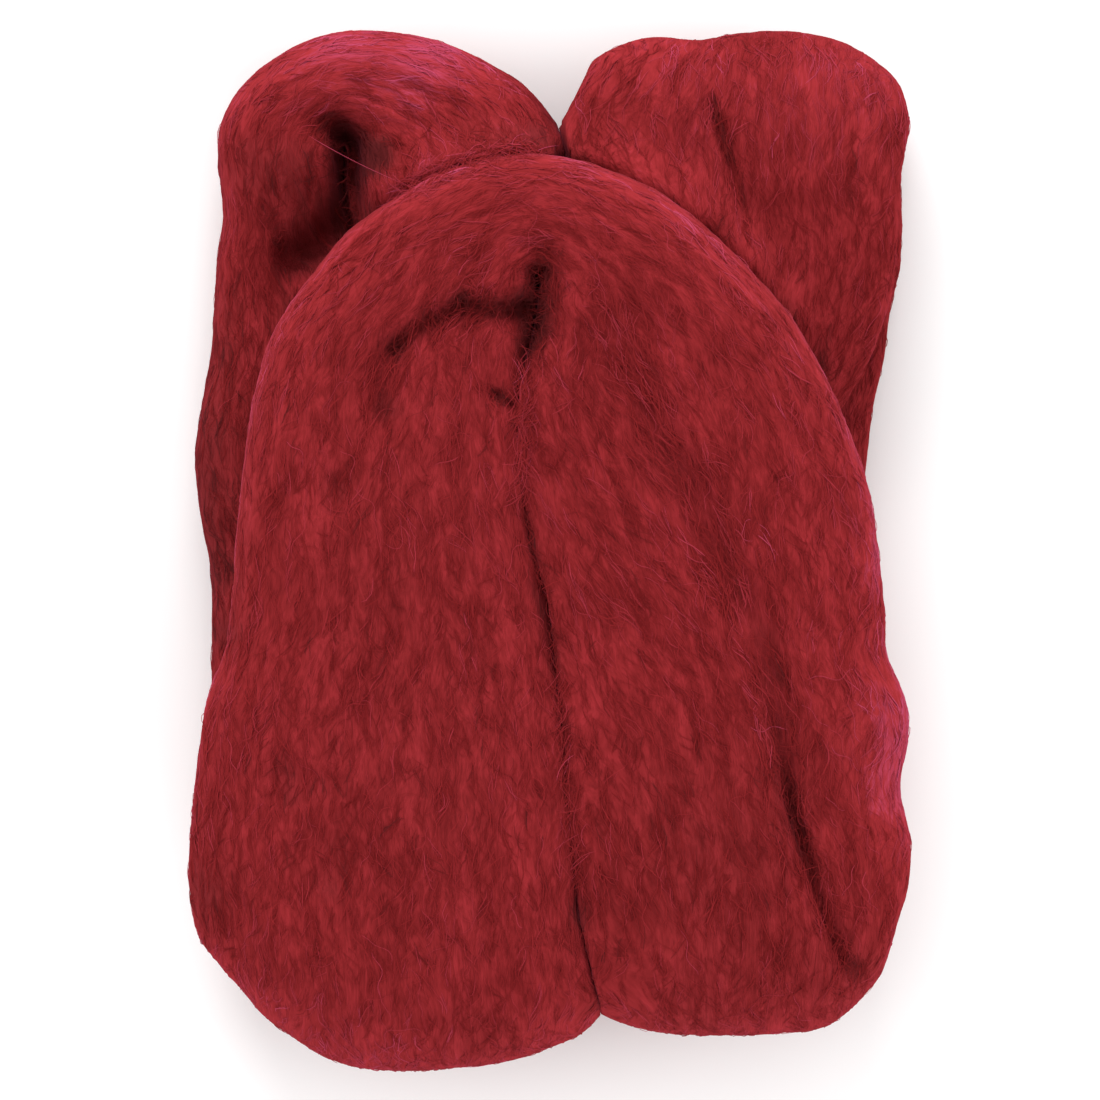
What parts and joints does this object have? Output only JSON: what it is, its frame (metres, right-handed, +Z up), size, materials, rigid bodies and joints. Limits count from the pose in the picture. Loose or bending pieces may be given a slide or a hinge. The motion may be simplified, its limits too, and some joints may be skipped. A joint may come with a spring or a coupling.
{
  "type": "wool roving",
  "caption": "Loose, untwisted strand of carded wool folded back and forth into a flat, soft bundle that lies on its back.",
  "frame": {"origin": "middle of the bundle's plan box, on the surface that it rests on", "axes": "+X across the bundle, +Y from its bottom folds to its top lobes, +Z up, out of the face with the arch"},
  "size_m": [0.1214, 0.1754, 0.0435],
  "materials": {
    "wool": "matt, fuzzy loose wool fibre dyed deep red, with a soft pinkish halo where its loose fibres catch the light"
  },
  "bodies": {
    "root": {"roving": "wool"}
  },
  "joints": []
}
